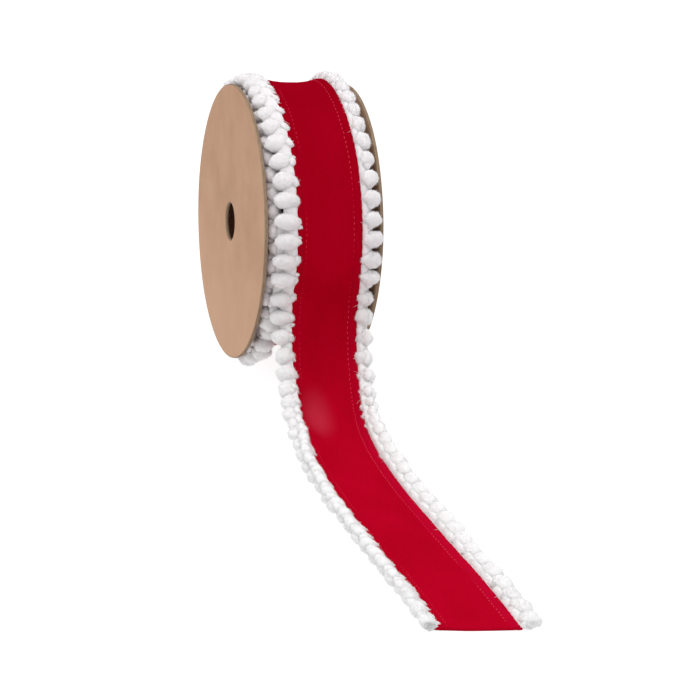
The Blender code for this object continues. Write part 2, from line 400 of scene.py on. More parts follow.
def windOn(bm):
    # winding mirrors the flat shape, so its faces are turned round again
    for vert in bm.verts:
        vert.co = onRibbon(vert.co.x, vert.co.y, vert.co.z)
    bmesh.ops.reverse_faces(bm, faces=bm.faces)


print("ribbon line has", len(line), "stations")


# velvet ribbon: the outer turn and the loose end in one length

velvet = {
    "deep": (0.350, 0.0006, 0.0105),
    "plain": (0.398, 0.0008, 0.0135),
    "brushed": (0.440, 0.0012, 0.0175),
    "paintedSheenPatch": (0.420, 0.018, 0.040),
    # the next colour is a painted highlight, for the pale patch on the drop
    "rubbed": (0.480, 0.0036, 0.0340),
    # the next colour is the dark of the pile and also the painted shade along the hems
    "pileDarkAndPaintedHemShade": (0.170, 0.0002, 0.0050),
    "rowStep": 1.5 * mm,
    "underLeft": 2.0 * mm,          # how far the velvet runs on under the left and right trims
    "underRight": 0.7 * mm,
    "wave": 0.6 * mm,               # how far the edges wander
    "ripple": 0.25 * mm,            # unevenness of the face
    "stitchIn": 4.7 * mm,           # from the velvet's edge to the stitching
    "edgeWide": 0.9 * mm,           # of the painted shade lines at the edge and at the stitching
    "seamWide": 0.8 * mm,
    "slantLength": 40 * mm,         # before the cut end, over which the rows come to lean
    "paintedSheenSpot": inMm(-7.0, 84.0, 13.0, 30.0),       # across, along, half sizes
    "paintedRollShade": (
        # painted shade along the ribbon: how much darker the velvet is painted there
        (-200 * mm, (0.69, 0.3, 0.58)), (-120 * mm, (0.69, 0.3, 0.58)), (-60 * mm, (0.80, 0.3, 0.66)),
        (0 * mm, (0.98, 0.3, 0.76)), (90 * mm, (1.0, 1.0, 1.0)),
    ),
    "columns": (
        # distance in from an edge, lift of the face there
        (0.0, -0.42), (0.2, -0.08), (0.6, 0.16), (1.3, 0.30), (2.4, 0.36), (3.5, 0.30),
        (4.3, 0.08), (4.7, -0.10), (5.1, 0.06), (5.8, 0.14), (7.6, 0.06), (10.5, 0.0), (14.5, 0.0),
        (18.5, 0.0),
    ),
}


def velvetMaterial():
    n = Nodes("redVelvet")
    flat = n.add("ShaderNodeUVMap", uv_map="flat").outputs["UV"]
    brushed = n.noise(n.stretch(flat, (34.0, 9.0, 1.0)), 1.0, 3.0, 0.55)
    colour = n.ramp(brushed, [(0.34, velvet["deep"]), (0.52, velvet["plain"]), (0.74, velvet["brushed"])])
    mottled = n.noise(n.stretch(flat, (150.0, 60.0, 1.0)), 1.0, 4.0, 0.6)
    colour = n.mix(0.35, colour, n.ramp(mottled, [(0.3, velvet["deep"]), (0.7, velvet["brushed"])]))
    broad = n.noise(n.stretch(flat, (38.0, 22.0, 1.0)), 1.0, 1.0, 0.5)
    colour = n.mix(0.4, colour, n.ramp(broad, [(0.36, velvet["deep"]), (0.62, velvet["brushed"])]))
    pile = n.noise(n.stretch(flat, (2600.0, 1700.0, 1.0)), 1.0, 2.0, 0.6)
    colour = n.mix(0.3, colour, n.ramp(pile, [(0.3, velvet["pileDarkAndPaintedHemShade"]), (0.7, velvet["brushed"])]))
    split = n.add("ShaderNodeSeparateXYZ")
    n.join(flat, split.inputs["Vector"])
    across, along = split.outputs["X"], split.outputs["Y"]
    # painted shade: the velvet on the roll is painted darker than on the loose end, which lies in more light
    paintedShadeRows = velvet["paintedRollShade"]
    paintedShadeStart, paintedShadeEnd = paintedShadeRows[0][0], paintedShadeRows[-1][0]
    paintedShadeShare = n.math("DIVIDE", n.math("SUBTRACT", along, paintedShadeStart), paintedShadeEnd - paintedShadeStart, clamp=True)
    paintedRollShade = n.ramp(paintedShadeShare, [((row[0] - paintedShadeStart) / (paintedShadeEnd - paintedShadeStart), row[1]) for row in paintedShadeRows])
    colour = n.mix(1.0, colour, paintedRollShade, "MULTIPLY")
    # painted highlight: a pale patch painted where the left of the strip turns up towards the light
    spotAcross, spotAlong, reachAcross, reachAlong = velvet["paintedSheenSpot"]
    dx = n.math("DIVIDE", n.math("SUBTRACT", across, spotAcross), reachAcross)
    dy = n.math("DIVIDE", n.math("SUBTRACT", along, spotAlong), reachAlong)
    far = n.math("ADD", n.math("MULTIPLY", dx, dx), n.math("MULTIPLY", dy, dy))
    paintedSheenMask = n.math("SUBTRACT", n.math("SUBTRACT", 1.25, far), n.math("MULTIPLY", brushed, 0.5), clamp=True)
    colour = n.mix(n.math("MULTIPLY", n.math("MULTIPLY", paintedSheenMask, paintedSheenMask), 0.9), colour, velvet["paintedSheenPatch"])
    # painted shade: darker lines painted along the folded edges and in the groove of the stitching
    middle = (velvet["underRight"] - velvet["underLeft"]) / 2
    half = halfVelvet + (velvet["underRight"] + velvet["underLeft"]) / 2
    inward = n.math("SUBTRACT", half, n.math("ABSOLUTE", n.math("SUBTRACT", across, middle)))
    paintedEdgeShade = n.math("SUBTRACT", 1.0, n.math("DIVIDE", inward, velvet["edgeWide"]), clamp=True)
    fromSeam = n.math("ABSOLUTE", n.math("SUBTRACT", inward, velvet["stitchIn"]))
    paintedSeamShade = n.math("SUBTRACT", 1.0, n.math("DIVIDE", fromSeam, velvet["seamWide"]), clamp=True)
    paintedHemShadeLines = n.math("MAXIMUM", n.math("MULTIPLY", paintedEdgeShade, 0.8), n.math("MULTIPLY", paintedSeamShade, 0.12))
    colour = n.mix(paintedHemShadeLines, colour, velvet["pileDarkAndPaintedHemShade"])
    # the right hem is rubbed a little paler
    rightHem = n.math("GREATER_THAN", across, halfVelvet - velvet["stitchIn"])
    rightHem = n.math("MULTIPLY", rightHem, n.math("MULTIPLY", n.math("ADD", along, 20 * mm), 6.0, clamp=True))
    rubbed = n.math("MULTIPLY", n.math("MULTIPLY", rightHem, 0.6),
                    n.noise(n.stretch(flat, (120.0, 40.0, 1.0)), 1.0, 3.0, 0.6))
    colour = n.mix(rubbed, colour, velvet["rubbed"])
    normal = n.bump(pile, 0.0005, 0.8, n.bump(mottled, 0.0008, 0.35))
    return n.finish(colour, normal, Roughness=1.0, Specular_IOR_Level=0.0, Sheen_Weight=0.12,
                    Sheen_Roughness=0.4, Sheen_Tint=(1.0, 0.0, 0.05, 1.0))


redVelvet = velvetMaterial()


def flatColumns():
    reach = [row[0] * mm for row in velvet["columns"]]
    lifts = [row[1] * mm for row in velvet["columns"]]
    left = [(-halfVelvet - velvet["underLeft"] + inward, lift) for inward, lift in zip(reach, lifts)]
    right = [(halfVelvet + velvet["underRight"] - inward, lift) for inward, lift in zip(reach, lifts)]
    return left + right[-2::-1]


def weaveRibbon():
    columns = flatColumns()
    start = lineStart + ribbon["step"]
    length = ribbon["looseLength"] - start
    rows = int(length / velvet["rowStep"])
    bm = bmesh.new()
    uv = bm.loops.layers.uv.new("flat")
    bmesh.ops.create_grid(bm, x_segments=len(columns) - 1, y_segments=rows, size=0.5)
    bmesh.ops.solidify(bm, geom=bm.faces[:], thickness=-ribbon["thick"])
    top = max(vert.co.z for vert in bm.verts)
    halfThick = ribbon["thick"] / 2
    for vert in bm.verts:
        across, lift = columns[round((vert.co.x + 0.5) * (len(columns) - 1))]
        distance = start + (vert.co.y + 0.5) * length
        upper = vert.co.z > top - halfThick
        nearEnd = max(0.0, 1 - (ribbon["looseLength"] - distance) / velvet["slantLength"])
        distance += ribbon["endSlant"] * across / halfVelvet * nearEnd
        ripple = noise.noise(Vector((across * 90, distance * 30, 4.0))) * velvet["ripple"]
        hem = (across / halfVelvet) ** 6
        wander = noise.noise(Vector((9.0 if across > 0 else 2.0, distance * 75, 1.0))) * velvet["wave"]
        vert.co.x = across + wander * hem
        vert.co.y = distance
        vert.co.z = (halfThick + lift if upper else -halfThick) + max(ripple, -0.05 * mm)
    for face in bm.faces:
        for loop in face.loops:
            loop[uv].uv = (loop.vert.co.x, loop.vert.co.y)
    bmesh.ops.recalc_face_normals(bm, faces=bm.faces)
    windOn(bm)
    for vert in bm.verts:
        vert.co.z = max(vert.co.z, 0.00002)
    piece = finishPiece("velvetRibbon", bm, redVelvet)
    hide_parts("ribbon_roll", "ribbon_tail")
    return piece


velvetRibbon = weaveRibbon()
print("velvet woven:", len(velvetRibbon.data.polygons), "faces")


# the turns of ribbon inside the outer one, seen only past the pompoms

innerTurns = {
    "count": 13,
    "offCore": 0.6 * mm,            # clear space round the core
    "inset": 1.0 * mm,              # in from the velvet's edge
    "sag": 1.3 * mm,                # clear space under the outer turn
    "lip": 0.35 * mm,               # how far each turn's edge stands out
    "hollow": 0.8 * mm,             # how much lower the middle of the uppermost lies
    "steps": 96,
}


def windInnerTurns():
    inner = (coreHigh.z - coreLow.z) / 2 + innerTurns["offCore"]
    low = faceRadius(-ribbon["hiddenTurn"] * tau) - ribbon["rollLift"] - ribbon["thick"] - innerTurns["sag"]
    low = min(low, faceRadius(pi / 2) - ribbon["thick"] - innerTurns["sag"])
    edge = halfVelvet - innerTurns["inset"]
    pitch = (low - inner) / innerTurns["count"]
    profile = [(-edge, inner)]
    for k in range(innerTurns["count"]):
        base = inner + k * pitch
        profile += [(-edge - innerTurns["lip"], base + pitch * 0.3), (-edge, base + pitch * 0.9)]
    profile += [(0.0, low - innerTurns["hollow"])]
    profile += [(-x, radius) for x, radius in reversed(profile[:-1])]
    bm = bmesh.new()
    verts = [bm.verts.new((x + ribbon["shift"], axle.y, axle.z - radius)) for x, radius in profile]
    edges = [bm.edges.new((verts[k - 1], verts[k])) for k in range(len(verts))]
    bmesh.ops.spin(bm, geom=verts + edges, cent=axle, axis=(1, 0, 0), angle=tau,
                   steps=innerTurns["steps"], use_merge=True)
    bmesh.ops.recalc_face_normals(bm, faces=bm.faces)
    uv = bm.loops.layers.uv.new("flat")
    for face in bm.faces:
        for loop in face.loops:
            away = Vector((0, loop.vert.co.y - axle.y, loop.vert.co.z - axle.z))
            loop[uv].uv = (loop.vert.co.x, away.length)
    piece = finishPiece("innerTurns", bm, redVelvet)
    piece.data.set_sharp_from_angle(angle=radians(40))
    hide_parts("ribbon_roll")


windInnerTurns()


# stitching along both hems

stitching = {
    "thread": (0.63, 0.042, 0.074),
    "pitch": 3.1 * mm,
    "long": 1.9 * mm,
    "wide": 0.6 * mm,
    "high": 0.46 * mm,
    "leftSize": 0.6,                # the left row is drawn tighter into the pile
    "wander": 0.18 * mm,
    "start": 3 * mm,                # from the hidden end and from the cut end of the ribbon
    "stop": 4 * mm,
    "skew": 0.12,
}


def threadMaterial():
    n = Nodes("stitchThread")
    place = n.add("ShaderNodeTexCoord").outputs["Object"]
    twist = n.noise(place, 2600.0, 1.0, 0.5)
    colour = n.ramp(twist, [(0.3, (0.50, 0.016, 0.040)), (0.7, stitching["thread"])])
    return n.finish(colour, n.bump(twist, 0.0001, 0.5), Roughness=0.7, Specular_IOR_Level=0.1)


def sewHems():
    random.seed(11)
    bm = bmesh.new()
    start = lineStart + stitching["start"]
    count = int((ribbon["looseLength"] - start - stitching["stop"]) / stitching["pitch"])
    for side in (-1, 1):
        for k in range(count):
            made = bmesh.ops.create_icosphere(bm, subdivisions=1, radius=0.5)["verts"]
            across = side * (halfVelvet - velvet["stitchIn"]) + random.uniform(-1, 1) * stitching["wander"]
            distance = start + (k + 0.5) * stitching["pitch"]
            skew = random.uniform(-stitching["skew"], stitching["skew"])
            for vert in made:
                size = stitching["leftSize"] if side < 0 else 1.0
                x, y = vert.co.x * stitching["wide"] * size, vert.co.y * stitching["long"]
                z = vert.co.z * stitching["high"] * size
                vert.co = (across + x + y * skew, distance + y, ribbon["thick"] / 2 + z + 0.02 * mm)
    windOn(bm)
    piece = finishPiece("hemStitches", bm, threadMaterial())


sewHems()
print("hems sewn")


# yarn of the pompoms and the tape

yarn = {
    "white": (0.745, 0.742, 0.744),
    # the pink cast of the shade colour is a painted reflection of the red velvet
    "shade": (0.705, 0.690, 0.696),
    "paintedHighShade": (0.690, 0.660, 0.672),       # painted shade: greyer up on the roll, where less light falls
    # painted shade and painted reflection: a darker, pinker copy of the yarn for the inner rows, which lie in
    # shade beside the red velvet
    "innerPaintedShadeLight": (0.680, 0.640, 0.655),
    "innerPaintedShadeDeep": (0.600, 0.550, 0.570),
    "nearCard": 0.6 * mm,           # out to this far past the rim, yarn stays between the cards
    "offCard": 0.15 * mm,
}


def yarnMaterial(name, white, shade):
    n = Nodes(name)
    place = n.add("ShaderNodeTexCoord").outputs["Object"]
    soft = n.noise(place, 260.0, 3.0, 0.55)
    fine = n.noise(place, 1900.0, 2.0, 0.6)
    colour = n.ramp(soft, [(0.3, shade), (0.62, white)])
    # painted shade: the yarn is painted greyer from 30 mm up, towards the roll
    high = n.math("MULTIPLY", n.math("SUBTRACT", n.height(place), 0.03), 20.0, clamp=True)
    colour = n.mix(n.math("MULTIPLY", high, 0.75), colour, yarn["paintedHighShade"])
    locks = n.noise(place, 620.0, 2.0, 0.55)
    normal = n.bump(fine, 0.0003, 0.5, n.bump(locks, 0.0008, 0.5, n.bump(soft, 0.0010, 0.5)))
    return n.finish(colour, normal, Roughness=1.0, Specular_IOR_Level=0.05, Sheen_Weight=0.25,
                    Sheen_Roughness=0.6, Sheen_Tint=(1.0, 1.0, 1.0, 1.0), Subsurface_Weight=0.5,
                    Subsurface_Scale=0.0025, Subsurface_Radius=(1.0, 1.0, 1.0))


whiteYarn = yarnMaterial("whiteYarn", yarn["white"], yarn["shade"])
# a painted shade copy of the yarn, for the inner rows
paintedShadeInnerYarn = yarnMaterial("paintedShadeInnerYarn", yarn["innerPaintedShadeLight"], yarn["innerPaintedShadeDeep"])


def addBall(bm, centre, out, along, up, halves, lump, seed, taper=0.15):
    # one soft egg of 80 faces, its narrower end towards the velvet
    made = bmesh.ops.create_icosphere(bm, subdivisions=2, radius=1.0)["verts"]
    for vert in made:
        spot = vert.co.copy()
        swell = 1 + lump * noise.noise(spot * 1.4 + Vector((seed, seed * 1.7, 0)))
        narrow = 1 - taper * min(spot.x, 0.0) ** 2
        spot = Vector((spot.x, spot.y * narrow, spot.z * narrow)) * swell
        vert.co = centre + out * spot.x * halves[0] + along * spot.y * halves[1] + up * spot.z * halves[2]


def markFluffy(bm, above=None, fromFace=0):
    # marks the faces that get cut yarn ends
    layer = bm.faces.layers.float.get("fluffy") or bm.faces.layers.float.new("fluffy")
    for n, face in enumerate(bm.faces):
        if n >= fromFace and (above is None or face.calc_center_median().z > above):
            face[layer] = 1.0


def tuftNodes(name, density, length, width, lean, seed, material):
    # cut yarn ends standing out of a ball: three-sided cones on its faces
    group = bpy.data.node_groups.new(name, "GeometryNodeTree")
    group.interface.new_socket("Geometry", in_out="INPUT", socket_type="NodeSocketGeometry")
    group.interface.new_socket("Geometry", in_out="OUTPUT", socket_type="NodeSocketGeometry")
    new = group.nodes.new
    source, result = new("NodeGroupInput"), new("NodeGroupOutput")
    scatter = new("GeometryNodeDistributePointsOnFaces")
    fluffy = new("GeometryNodeInputNamedAttribute")
    fluffy.data_type = "FLOAT"
    fluffy.inputs["Name"].default_value = "fluffy"
    thick = new("ShaderNodeMath")
    thick.operation = "MULTIPLY"
    thick.inputs[1].default_value = density
    scatter.inputs["Seed"].default_value = seed
    cone = new("GeometryNodeMeshCone")
    cone.inputs["Vertices"].default_value = 3
    cone.inputs["Radius Bottom"].default_value = width / 2
    cone.inputs["Depth"].default_value = length
    tilt = new("FunctionNodeRandomValue")
    tilt.data_type = "FLOAT_VECTOR"
    tilt.inputs["Min"].default_value = (-lean, -lean, -pi)
    tilt.inputs["Max"].default_value = (lean, lean, pi)
    tilt.inputs["Seed"].default_value = seed + 1
    size = new("FunctionNodeRandomValue")
    size.data_type = "FLOAT"
    size.inputs[2].default_value = 0.55
    size.inputs[3].default_value = 1.25
    size.inputs["Seed"].default_value = seed + 2
    turn = new("FunctionNodeRotateRotation")
    turn.rotation_space = "LOCAL"
    place = new("GeometryNodeInstanceOnPoints")
    real = new("GeometryNodeRealizeInstances")
    both = new("GeometryNodeJoinGeometry")
    dye = new("GeometryNodeSetMaterial")
    dye.inputs["Material"].default_value = material
    links = (
        (fluffy, "Attribute", thick, 0), (thick, 0, scatter, "Density"), (source, 0, scatter, "Mesh"),
        (scatter, "Points", place, "Points"), (cone, "Mesh", place, "Instance"),
        (scatter, "Rotation", turn, "Rotation"), (tilt, 0, turn, "Rotate By"), (turn, 0, place, "Rotation"),
        (size, 1, place, "Scale"), (place, 0, real, 0), (real, 0, both, 0), (source, 0, both, 0),
        (both, 0, dye, "Geometry"), (dye, 0, result, 0),
    )
    for giver, output, taker, socket in links:
        group.links.new(giver.outputs[output], taker.inputs[socket])
    return group


def fluffUp(piece, density, length, width, lean, seed):
    tufts = piece.modifiers.new("tufts", "NODES")
    material = piece.data.materials[0]
    tufts.node_group = tuftNodes(piece.name + "Tufts", density, length, width, lean, seed, material)
    ready = piece.evaluated_get(bpy.context.evaluated_depsgraph_get())
    mesh = bpy.data.meshes.new_from_object(ready)
    piece.modifiers.clear()
    piece.data = mesh
    mesh.name = piece.name
    mesh.materials.clear()
    mesh.materials.append(material)
    for vert in mesh.vertices:
        vert.co.z = max(vert.co.z, 0.00003)
        if (vert.co - Vector((vert.co.x, axle.y, axle.z))).length < flangeRadius + yarn["nearCard"]:
            vert.co.x = min(max(vert.co.x, leftHigh.x + yarn["offCard"]), rightLow.x - yarn["offCard"])


pompom = {
    "perTurn": 45,
    "leftOff": 2,                   # outer pompoms left off under the loose end
    "rise": inMm(3.3, 3.7),         # of the left and the right heads above the velvet
    "sink": inMm(3.0, 0.6),         # how far they sink over the top
    "hang": 6.0 * mm,               # how far they hang off the roll below
    "hangTurn": 1.13,               # turn past level at which they hang furthest
    "hangSpan": 0.5,                # and the angle either side of it over which they do
    "rowDrop": inMm(0.0, 7.6, 11.5),      # of the outer row and the two inside it
    "headLeft": inMm(7.7, 4.6, 4.4),     # half sizes: outwards, along and up
    "headRight": inMm(6.3, 4.7, 3.6),
    "headLoose": inMm(
        # along the loose end, half sizes of the left and then of the right heads
        ((0.0, 7.7, 4.6, 4.4), (80, 5.4, 6.0, 3.9), (150, 4.2, 6.0, 3.5)),
        ((0.0, 5.3, 4.7, 3.6), (80, 5.2, 6.4, 3.5), (130, 5.4, 7.9, 3.5)),
    ),
    "taper": (0.34, 0.20),          # how much the left and the right ones narrow to the velvet
    "merge": 0.4,                   # how much longer along they are pressed over the top
    "deeper": inMm(4.4, 4.4, 4.4),       # half sizes in the rows inside
    "round": 5.4 * mm,              # half size of the rounder ones under the roll
    "fill": 7.0 * mm,               # how much further out the ones that fill the corner lie
    "fillUpTo": 14,                 # the places along the roll that are filled
    "underEnd": 4 * mm,             # how much further out the inner ones lie under the loose end
    "lump": 0.24,                   # how uneven their forms are
    "scatter": inMm(0.45, 0.6, 0.8),     # of the outer, the inner and the filling ones
    "closeIn": 2.4 * mm,            # how much nearer the velvet the right ones lie over the top
    "closeShorter": 0.9,            # and the share of it by which they are shorter
    "tumble": 1.8 * mm,             # how far they fall about under the roll
    # centres out from the velvet's edge, in the outer row and the two inside it
    "reachLeft": inMm(7.4, 12.3, 12.4),
    "reachRight": inMm(6.0, 2.4, 2.0),
    "looseReach": inMm(
        # the same along the loose end, on the left and on the right
        ((0.0, 6.8), (50, 4.6), (150, 4.1)),
        ((0.0, 3.8), (80, 4.0), (130, 5.2), (170, 6.4)),
    ),
    "looseCount": 28,
    "looseFirst": 4.5 * mm,
    "looseLast": 337.5 * mm,
    "settle": 50.0 * mm,            # length over which the heads come down from their place on the roll
    "density": 2.3e6,               # cut yarn ends to a square metre
    "fibre": 1.1 * mm,
    "fibreWide": 0.15 * mm,
    "lean": 1.0,
}


def riseAt(angle, side):
    # over the top a pompom sinks aside, and below it hangs a little off the roll
    turn = ribbon["leaveAngle"] + angle
    hang = max(0.0, 1 - abs(turn - pompom["hangTurn"]) / pompom["hangSpan"])
    sink = pompom["sink"][side > 0] * max(0.0, -sin(turn)) ** 2
    return pompom["rise"][side > 0] - sink + pompom["hang"] * hang


def outerRowRadius(angle, side):
    free = faceRadius(angle) + riseAt(angle, side)
    down = cos(ribbon["leaveAngle"] + angle - pi / 2)
    # under the roll the table presses them up
    if down <= 0.5:
        return free
    lean = abs(sin(ribbon["leaveAngle"] + angle - pi / 2))
    half = pompom["headLeft"][2]
    return min(free, (axle.z - half * lean * 0.5) / down - half)


def jitter(amount):
    return Vector([random.uniform(-amount, amount) for k in range(3)])


def woundPompoms(name, node, side, reaches):
    random.seed(21 if side < 0 else 22)
    edge = curlPoint(halfVelvet, ribbon["rollCurl"])[0]
    outer = bmesh.new()
    inner = bmesh.new()
    for k in range(2 * pompom["perTurn"]):
        row = k % 2
        angle = (k + 0.5) * tau / (2 * pompom["perTurn"])
        velvetEdge = side * edge + shiftAt(angle)
        up = (roundAxle(angle, 1.0, 0.0) - axle).normalized()
        out = Vector((side, 0, 0))
        along = up.cross(out)
        seed = random.uniform(0, 90)
        size = random.uniform(0.94, 1.07)
        halves = [half * size for half in (pompom["headLeft"] if side < 0 else pompom["headRight"])]
        below = max(0.0, -up.z)
        halves = [half + (pompom["round"] - half) * below for half in halves]
        halves[1] *= 1 + pompom["merge"] * max(0.0, up.z) ** 2
        innerHalves = [half * size for half in pompom["deeper"]]
        if row == 0 and k >= 2 * pompom["leftOff"]:
            reach = reaches[0]
            if side > 0:
                closer = pompom["closeIn"] * max(0.0, up.z)
                reach -= closer
                halves[0] -= pompom["closeShorter"] * closer
            centre = roundAxle(angle, outerRowRadius(angle, side), velvetEdge + side * reach)
            centre += jitter(pompom["scatter"][0] + below * pompom["tumble"])
            addBall(outer, centre, out, along, up, halves, pompom["lump"], seed, pompom["taper"][side > 0])
        depth = 2 if row == 0 else 1
        radius = faceRadius(angle) + riseAt(angle, side) - pompom["rowDrop"][depth]
        if k < 2 * pompom["leftOff"]:
            radius += pompom["underEnd"]
        centre = roundAxle(angle, radius, velvetEdge + side * reaches[depth])
        centre += jitter(pompom["scatter"][1] + below * pompom["tumble"])
        addBall(inner, centre, out, along, up, innerHalves, pompom["lump"], seed + 9)
        if side < 0 and (k < 2 * pompom["leftOff"] or k < pompom["fillUpTo"] and row == 0):
            # a few more fill the corner where the loose end leaves
            centre += out * -5.5 * mm + up * pompom["fill"] * below
            centre += jitter(pompom["scatter"][2])
            addBall(inner, centre, out, along, up, innerHalves, pompom["lump"], seed + 4)
    markFluffy(outer)
    markFluffy(inner)
    heads = finishPiece(name, outer, whiteYarn)
    fluffUp(heads, pompom["density"], pompom["fibre"], pompom["fibreWide"], pompom["lean"], 5)
    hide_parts(node)
    inside = finishPiece(name + "Inner", inner, paintedShadeInnerYarn)
    fluffUp(inside, pompom["density"] * 0.25, pompom["fibre"], pompom["fibreWide"] * 1.4, pompom["lean"], 6)
    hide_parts(node)


def loosePompoms(name, node, side):
    random.seed(31 if side < 0 else 32)
    bm = bmesh.new()
    last = pompom["looseLast"] + side * ribbon["endSlant"]
    gap = (last - pompom["looseFirst"]) / (pompom["looseCount"] - 1)
    for k in range(pompom["looseCount"]):
        stop = pompom["looseFirst"] + k * gap
        place, along, across, up, curl = lineAt(stop)
        tilt = readTable(ribbon["lie"], stop)[2]
        edge, rise = curlPoint(halfVelvet, curl)[:2]
        edge += readTable(ribbon["spread"], stop)[side > 0]
        looseReach = readTable(pompom["looseReach"][side > 0], stop)[0]
        reach, stand = readTable((
            (0.0, looseReach, pompom["rise"][side > 0] + ribbon["thick"] / 2),
            (pompom["settle"], looseReach * cos(tilt), rise + looseReach * sin(tilt)),
        ), stop)
        head = readTable(pompom["headLoose"][side > 0], stop)
        size = random.uniform(0.93, 1.07)
        halves = [half * size * random.uniform(0.95, 1.06) for half in head]
        centre = place + across * side * (edge + reach) + up * stand + jitter(0.5 * mm)
        centre.z = max(centre.z, halves[2] * abs(up.z) + halves[1] * abs(along.z))
        addBall(bm, centre, across * side, along * -side, up, halves, pompom["lump"], random.uniform(0, 90),
                pompom["taper"][side > 0])
    markFluffy(bm)
    endPlace, along = lineAt(ribbon["looseLength"] + side * ribbon["endSlant"])[:2]
    for vert in bm.verts:
        past = (vert.co - endPlace).dot(along)
        if past > 0:
            vert.co -= along * (past - random.uniform(-0.4, 0.2) * mm)
    piece = finishPiece(name, bm, whiteYarn)
    fluffUp(piece, pompom["density"], pompom["fibre"], pompom["fibreWide"], pompom["lean"], 9)
    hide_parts(node)


woundPompoms("pompomsWoundLeft", "pompoms_wound_left", -1, pompom["reachLeft"])
woundPompoms("pompomsWoundRight", "pompoms_wound_right", 1, pompom["reachRight"])
loosePompoms("pompomsLooseLeft", "pompoms_tail_left", -1)
loosePompoms("pompomsLooseRight", "pompoms_tail_right", 1)
print("pompoms tied")


# tape that carries the pompoms, sewn under the velvet's hems, with a soft ridge across it at each root

tape = {
    "wideLeft": inMm(9.4, 6.4),       # on the roll and on the loose end
    "wideRight": inMm(6.6, 7.2),
    "under": 1.4 * mm,              # how far it runs in under the hem
    "rowStep": 1.2 * mm,
    "profile": (
        # share of its width, top, underside
        (0.0, -0.75, -1.3), (0.13, -0.7, -1.3), (0.21, 0.5, -1.2), (0.36, 1.5, -0.9),
        (0.55, 1.5, -0.9), (0.80, 0.3, -1.6), (1.0, -1.8, -2.6),
    ),
    # how much fuller the left and right tapes are in the middle, on the roll and on the loose end
    "crown": inMm((0.3, 1.6), (0.9, 2.2)),
    "widens": inMm(-30, 60),         # where its width changes from the roll's to the loose end's
    "fills": inMm(60, 130),         # where its crown and the small locks do
    "grows": inMm(60, 150),         # where its ridges do
    "betweenFrom": 112 * mm,        # from here on the left has a smaller ridge between each two
    "knit": 0.16 * mm,
    "knitPitch": 2.4 * mm,
    "density": 1.2e6,
    "fibre": 1.0 * mm,
    "ridges": {
        # by side, on the roll and on the loose end: middle out from the trim's edge, half sizes, rise
        -1: inMm((1.7, 3.3, 3.1, 2.2, 0.6), (4.3, 4.2, 6.2, 3.1, 1.4)),
        1: inMm((4.9, 3.5, 5.0, 1.9, 0.9), (5.7, 5.3, 7.8, 3.1, 1.3)),
    },
    "tooth": inMm(2.0, 1.4, 1.0),    # half sizes of the small locks that lie over the velvet
    "teeth": (0.8, 1.9),            # of them to a pompom, on the roll and on the loose end
    "looseTooth": 1.8,              # how much larger they are on the loose end
    "point": 0.55,                  # how much a ridge narrows to its inner tip
}


def rootStops(side):
    # where the pompoms are tied, as distances along the ribbon
    stops = []
    k = 0
    for n, row in enumerate(wound):
        angle = (2 * k + 0.5) * tau / (2 * pompom["perTurn"])
        if row[5] >= angle:
            stops.append(lineStart + n * ribbon["step"])
            k += 1
    last = pompom["looseLast"] + side * ribbon["endSlant"]
    gap = (last - pompom["looseFirst"]) / (pompom["looseCount"] - 1)
    return stops + [pompom["looseFirst"] + k * gap for k in range(pompom["looseCount"])]


def addRidge(bm, side, across, distance, halves, rise, skew, rough=2):
    # flat, before the winding: a lumpy egg whose narrow end points in over the velvet
    made = bmesh.ops.create_icosphere(bm, subdivisions=rough, radius=1.0)["verts"]
    seed = random.uniform(0, 90)
    for vert in made:
        spot = vert.co * (1 + 0.14 * noise.noise(vert.co * 1.5 + Vector((seed, 0, seed))))
        narrow = 1 - tape["point"] * max(0.0, -spot.x) ** 1.5
        outward = spot.x * halves[0]
        vert.co = (side * (halfVelvet + across + outward),
                   distance + side * spot.y * halves[1] * narrow - skew * min(outward, 0.0),
                   rise + max(outward, 0.0) * 0.2 + spot.z * halves[2] * narrow)


